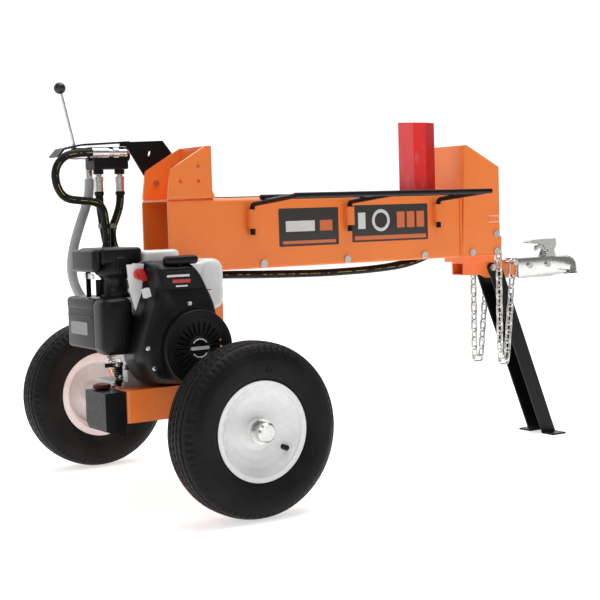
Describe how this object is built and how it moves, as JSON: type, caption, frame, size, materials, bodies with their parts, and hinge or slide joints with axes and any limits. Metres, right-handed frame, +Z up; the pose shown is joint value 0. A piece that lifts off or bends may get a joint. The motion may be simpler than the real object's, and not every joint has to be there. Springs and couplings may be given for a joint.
{
  "type": "log splitter",
  "caption": "Towable two-way hydraulic log splitter: sliding wedge on a box beam between push plates, log cradles, engine over an oil reservoir, road wheels, folding leg and ball coupler.",
  "frame": {"origin": "on the ground under the middle of the machine", "axes": "+X along the beam towards the ball coupler, -Y the side with the recoil starter, +Z up"},
  "size_m": [1.703, 0.998, 1.028],
  "materials": {
    "orange_paint": "semi-gloss powder coat",
    "red_paint": "scuffed gloss",
    "black_paint": "satin powder coat",
    "white_paint": "gloss enamel",
    "zinc": "bright zinc plate",
    "steel": "oiled bare steel",
    "chrome": "hard chrome",
    "cast_aluminium": "as cast",
    "tyre_rubber": "matt",
    "hose_rubber": "matt",
    "return_hose_rubber": "grey",
    "black_plastic": "textured",
    "red_plastic": "gloss",
    "maroon_plastic": "satin",
    "knob_plastic": "gloss"
  },
  "bodies": {
    "frame": {"beam": "orange_paint", "left_push_plate": "orange_paint", "right_push_plate": "orange_paint", "cradle_sockets": "orange_paint", "piston_rod": "chrome", "piston": "steel", "anchor_block": "orange_paint", "undercarriage": "orange_paint", "reservoir": "orange_paint", "filler_box": "black_paint", "wheel_hardware": "steel", "crankcase": "cast_aluminium", "fan_shroud": "black_paint", "recoil_cover": "black_paint", "fuel_tank": "white_paint", "air_cleaner": "black_plastic", "muffler": "black_paint", "heat_guard": "black_paint", "control_panel": "white_paint", "carburettor": "cast_aluminium", "pump_mount": "cast_aluminium", "gear_pump": "cast_aluminium", "valve_bracket": "black_paint", "valve_body": "black_paint", "hydraulic_fittings": "zinc", "pressure_hose": "hose_rubber", "work_hoses": "hose_rubber", "return_hose": "return_hose_rubber", "tongue": "orange_paint", "coupler": "zinc", "frame_bolts": "zinc"},
    "ram": {"wedge": "red_paint", "wedge_slide": "steel", "cylinder_barrel": "black_paint", "cylinder_ends": "black_paint"},
    "near_wheel": {"near_tyre": "tyre_rubber", "near_rim": "white_paint", "near_dust_cap": "zinc"},
    "far_wheel": {"far_tyre": "tyre_rubber", "far_rim": "white_paint", "far_dust_cap": "zinc"},
    "near_rack": {"near_cradle": "black_paint"},
    "far_rack": {"far_cradle": "black_paint"},
    "drive_shaft": {"crankshaft": "steel", "flywheel": "cast_aluminium", "shaft_coupling": "steel"},
    "rope_pulley": {"recoil_pulley": "black_plastic"},
    "pull_grip": {"starter_grip": "black_plastic"},
    "control_lever": {"valve_lever": "zinc", "lever_knob": "knob_plastic"},
    "spool": {"valve_spool": "chrome"},
    "leg": {"stand_leg": "black_paint"},
    "latch": {"coupler_latch": "zinc"},
    "trigger": {"latch_trigger": "zinc"},
    "near_safety_chain": {"near_chain": "zinc"},
    "far_safety_chain": {"far_chain": "zinc"},
    "fuel_filler_cap": {"fuel_cap": "black_plastic"},
    "oil_filler_cap": {"filler_cap": "maroon_plastic"},
    "dipstick": {"oil_dipstick": "black_plastic"},
    "switch_knob": {"engine_switch": "red_plastic"}
  },
  "joints": [
    {"name": "ram_stroke", "type": "slide", "parent": "frame", "child": "ram", "axis": [-1, 0, 0], "range_m": [0, 0.59]},
    {"name": "near_wheel_spin", "type": "hinge", "parent": "frame", "child": "near_wheel", "pos_m": [-0.5715, -0.431, 0.203], "axis": [0, 1, 0], "continuous": true},
    {"name": "far_wheel_spin", "type": "hinge", "parent": "frame", "child": "far_wheel", "pos_m": [-0.5715, 0.431, 0.203], "axis": [0, 1, 0], "continuous": true},
    {"name": "near_rack_lift", "type": "slide", "parent": "frame", "child": "near_rack", "axis": [0, 0, 1], "range_m": [0, 0.07]},
    {"name": "far_rack_lift", "type": "slide", "parent": "frame", "child": "far_rack", "axis": [0, 0, 1], "range_m": [0, 0.07]},
    {"name": "crank_spin", "type": "hinge", "parent": "frame", "child": "drive_shaft", "pos_m": [-0.6385, 0, 0.386], "axis": [0, 1, 0], "continuous": true},
    {"name": "grip_pull", "type": "slide", "parent": "frame", "child": "pull_grip", "axis": [0, 0, 1], "range_m": [0, 0.18], "stiffness_N_per_m": 40, "springref_m": -0.05},
    {"name": "rope_pulley_turn", "type": "hinge", "parent": "frame", "child": "rope_pulley", "pos_m": [-0.6385, -0.296, 0.386], "axis": [0, 1, 0], "range_deg": [0, 345]},
    {"name": "lever_tilt", "type": "hinge", "parent": "frame", "child": "control_lever", "pos_m": [-0.7505, 0.092, 0.861], "axis": [0, 1, 0], "range_deg": [-18, 18], "stiffness_Nm_per_rad": 3},
    {"name": "spool_shift", "type": "slide", "parent": "frame", "child": "spool", "axis": [1, 0, 0], "range_m": [-0.006, 0.006]},
    {"name": "leg_fold", "type": "hinge", "parent": "frame", "child": "leg", "pos_m": [0.4925, 0, 0.512], "axis": [0, 1, 0], "range_deg": [0, 111]},
    {"name": "latch_open", "type": "hinge", "parent": "frame", "child": "latch", "pos_m": [0.7395, 0, 0.545], "axis": [0, 1, 0], "range_deg": [0, 55]},
    {"name": "trigger_squeeze", "type": "hinge", "parent": "latch", "child": "trigger", "pos_m": [0.7255, 0, 0.562], "axis": [0, 1, 0], "range_deg": [0, 12], "stiffness_Nm_per_rad": 0.6, "springref_deg": -8.59},
    {"name": "near_chain_swing", "type": "hinge", "parent": "frame", "child": "near_safety_chain", "pos_m": [0.5505, -0.058, 0.524], "axis": [-0.6219, 0, 0.7831], "range_deg": [-6, 14]},
    {"name": "far_chain_swing", "type": "hinge", "parent": "frame", "child": "far_safety_chain", "pos_m": [0.5505, 0.058, 0.524], "axis": [0.6219, 0, -0.7831], "range_deg": [-6, 14]},
    {"name": "fuel_cap_turn", "type": "hinge", "parent": "frame", "child": "fuel_filler_cap", "pos_m": [-0.6715, -0.102, 0.59], "axis": [0, 0, 1], "range_deg": [0, 90]},
    {"name": "filler_cap_turn", "type": "hinge", "parent": "frame", "child": "oil_filler_cap", "pos_m": [-0.8215, -0.172, 0.3], "axis": [0, 0, 1], "range_deg": [0, 180]},
    {"name": "dipstick_turn", "type": "hinge", "parent": "frame", "child": "dipstick", "pos_m": [-0.7515, -0.182, 0.34], "axis": [0, 0, 1], "range_deg": [0, 180]},
    {"name": "switch_turn", "type": "hinge", "parent": "frame", "child": "switch_knob", "pos_m": [-0.7475, -0.24, 0.56], "axis": [0, 1, 0], "range_deg": [0, 60]}
  ],
  "couplings": [
    {"joint": "rope_pulley_turn", "follows": "grip_pull", "rad_per_m": 33.333},
    {"joint": "spool_shift", "follows": "lever_tilt", "m_per_rad": -0.016}
  ]
}
